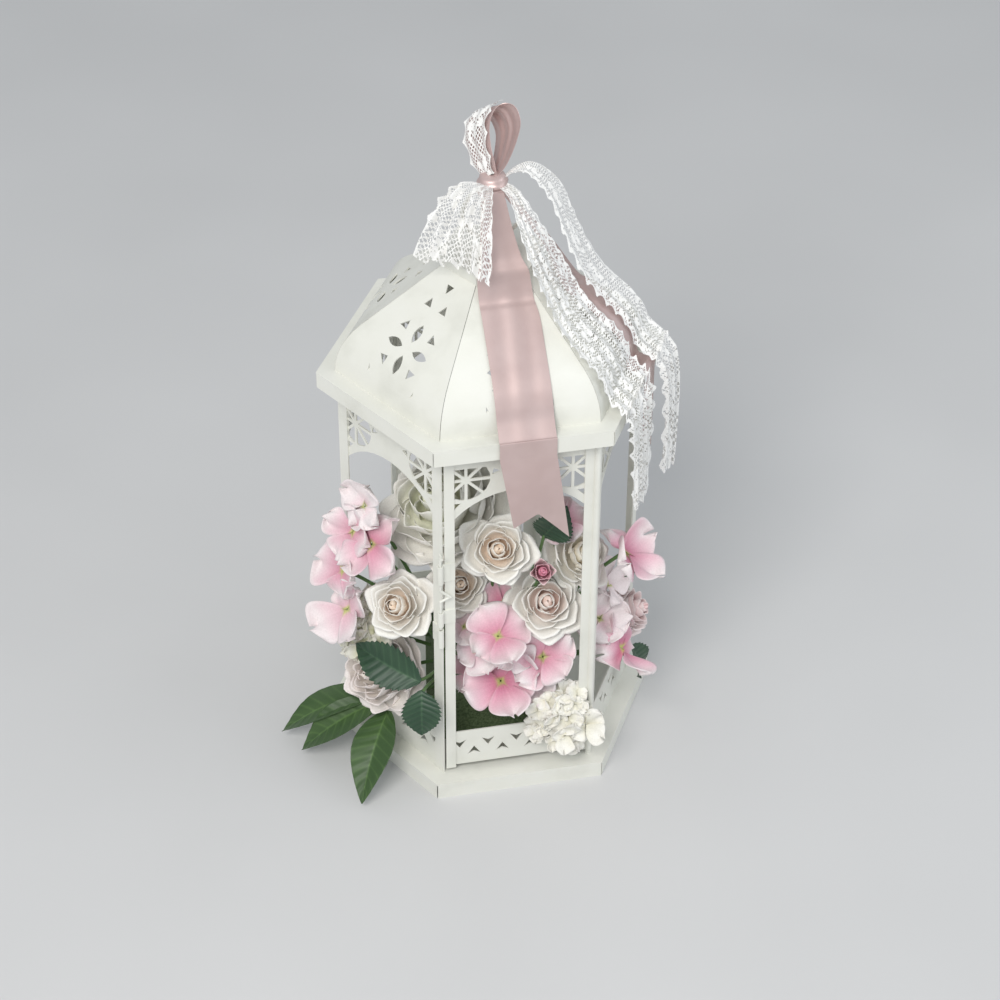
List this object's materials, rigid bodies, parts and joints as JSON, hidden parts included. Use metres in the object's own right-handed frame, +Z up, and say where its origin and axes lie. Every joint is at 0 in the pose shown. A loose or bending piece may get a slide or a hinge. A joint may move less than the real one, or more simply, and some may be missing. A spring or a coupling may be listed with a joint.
{
  "type": "wedding card box",
  "caption": "Hexagonal pierced-metal lantern card box with a hinged arched door, slide bolt and hanging ring, dressed with artificial flowers, satin ribbon and lace.",
  "frame": {"origin": "middle of the foot of the base tray, on the lantern's axis", "axes": "+Z up along the axis, the door faces -Y"},
  "size_m": [0.2809, 0.2091, 0.4925],
  "materials": {
    "ivory_paint": "satin ivory enamel on sheet steel",
    "satin": "dusty rose satin ribbon",
    "lace": "white scalloped lace",
    "cream_petal": "cream cloth petals with peach hearts",
    "pink_petal": "printed pink cloth petals",
    "white_petal": "white cloth petals",
    "leaf": "printed green cloth leaves",
    "foam": "dry floral foam"
  },
  "bodies": {
    "lantern": {"base_tray": "ivory_paint", "eave_tray": "ivory_paint", "corner_post_left": "ivory_paint", "corner_post_back_left": "ivory_paint", "corner_post_back_right": "ivory_paint", "corner_post_right": "ivory_paint", "latch_post": "ivory_paint", "hinge_post": "ivory_paint", "arch_panel_right": "ivory_paint", "arch_panel_back_right": "ivory_paint", "arch_panel_back": "ivory_paint", "arch_panel_back_left": "ivory_paint", "arch_panel_left": "ivory_paint", "pierced_band_right": "ivory_paint", "pierced_band_back_right": "ivory_paint", "pierced_band_back": "ivory_paint", "pierced_band_back_left": "ivory_paint", "pierced_band_left": "ivory_paint", "hinge_pins": "ivory_paint", "bolt_keeper": "ivory_paint", "roof_panel_front": "ivory_paint", "roof_panel_right": "ivory_paint", "roof_panel_back_right": "ivory_paint", "roof_panel_back": "ivory_paint", "roof_panel_back_left": "ivory_paint", "roof_panel_left": "ivory_paint", "roof_collar": "ivory_paint", "roof_cap": "ivory_paint", "ring_lug": "ivory_paint", "satin_front_tail": "satin", "satin_side_tail": "satin", "lace_bow": "lace", "lace_front_tail": "lace", "lace_back_tail": "lace", "rose_front_upper": "cream_petal", "rose_front_lower": "cream_petal", "rose_front_right": "cream_petal", "rose_front_left": "cream_petal", "peony_inside": "cream_petal", "rose_left": "cream_petal", "peony_left": "cream_petal", "rose_right": "cream_petal", "hydrangea_front": "pink_petal", "hydrangea_left": "pink_petal", "hydrangea_right": "pink_petal", "rosebuds": "pink_petal", "rose_leaves": "leaf", "long_leaves": "leaf", "foam_block": "foam"},
    "door": {"door_latch_stile": "ivory_paint", "door_hinge_stile": "ivory_paint", "door_arch": "ivory_paint", "door_band": "ivory_paint", "bolt_sleeves": "ivory_paint", "white_hydrangea": "white_petal"},
    "bolt": {"door_bolt": "ivory_paint"},
    "ring": {"hanging_ring": "ivory_paint", "satin_knot": "satin", "satin_loop": "satin"}
  },
  "joints": [
    {"name": "door_hinge", "type": "hinge", "parent": "lantern", "child": "door", "pos_m": [0.0525, -0.0913, 0.15], "axis": [0, 0, 1], "range_deg": [0, 95], "deforming": ["satin_front_tail"]},
    {"name": "bolt_slide", "type": "slide", "parent": "door", "child": "bolt", "axis": [0, 0, 1], "range_m": [-0.0078, 0.005]},
    {"name": "ring_swing", "type": "hinge", "parent": "lantern", "child": "ring", "pos_m": [0, 0, 0.398], "axis": [1, 0, 0], "range_deg": [-10, 10], "deforming": ["satin_front_tail", "satin_side_tail", "lace_bow", "lace_front_tail", "lace_back_tail"]}
  ]
}
